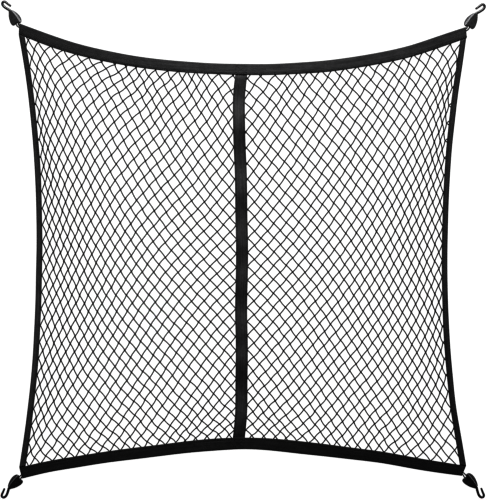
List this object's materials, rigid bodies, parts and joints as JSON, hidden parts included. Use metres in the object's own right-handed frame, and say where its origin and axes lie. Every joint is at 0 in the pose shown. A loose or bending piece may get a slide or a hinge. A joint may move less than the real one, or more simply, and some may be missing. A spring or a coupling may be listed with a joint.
{
  "type": "cargo net",
  "caption": "Square knotted diamond net in black twine, bound with folded webbing, with a centre strap and a wire hook on a short cord loop at each corner.",
  "frame": {"origin": "centre of the bounding box in plan, on the surface the net lies on", "axes": "+Z leaves the front face on which the strap lies, +Y points to the upper edge, +X to the right"},
  "size_m": [0.8973, 0.921, 0.007],
  "materials": {
    "twine": "matt twisted twine",
    "webbing": "woven, slightly lustrous",
    "cord": "matt twisted cord",
    "hook_plastic": "moulded, satin",
    "hook_wire": "black coated wire, satin"
  },
  "bodies": {
    "root": {"net": "twine", "band_top": "webbing", "band_bottom": "webbing", "band_left": "webbing", "band_right": "webbing", "strap_centre": "webbing", "cord_top_left": "cord", "cord_top_right": "cord", "cord_bottom_left": "cord", "cord_bottom_right": "cord", "hook_body_top_left": "hook_plastic", "hook_body_top_right": "hook_plastic", "hook_body_bottom_left": "hook_plastic", "hook_body_bottom_right": "hook_plastic", "hook_wire_top_left": "hook_wire", "hook_wire_top_right": "hook_wire", "hook_wire_bottom_left": "hook_wire", "hook_wire_bottom_right": "hook_wire"}
  },
  "joints": []
}
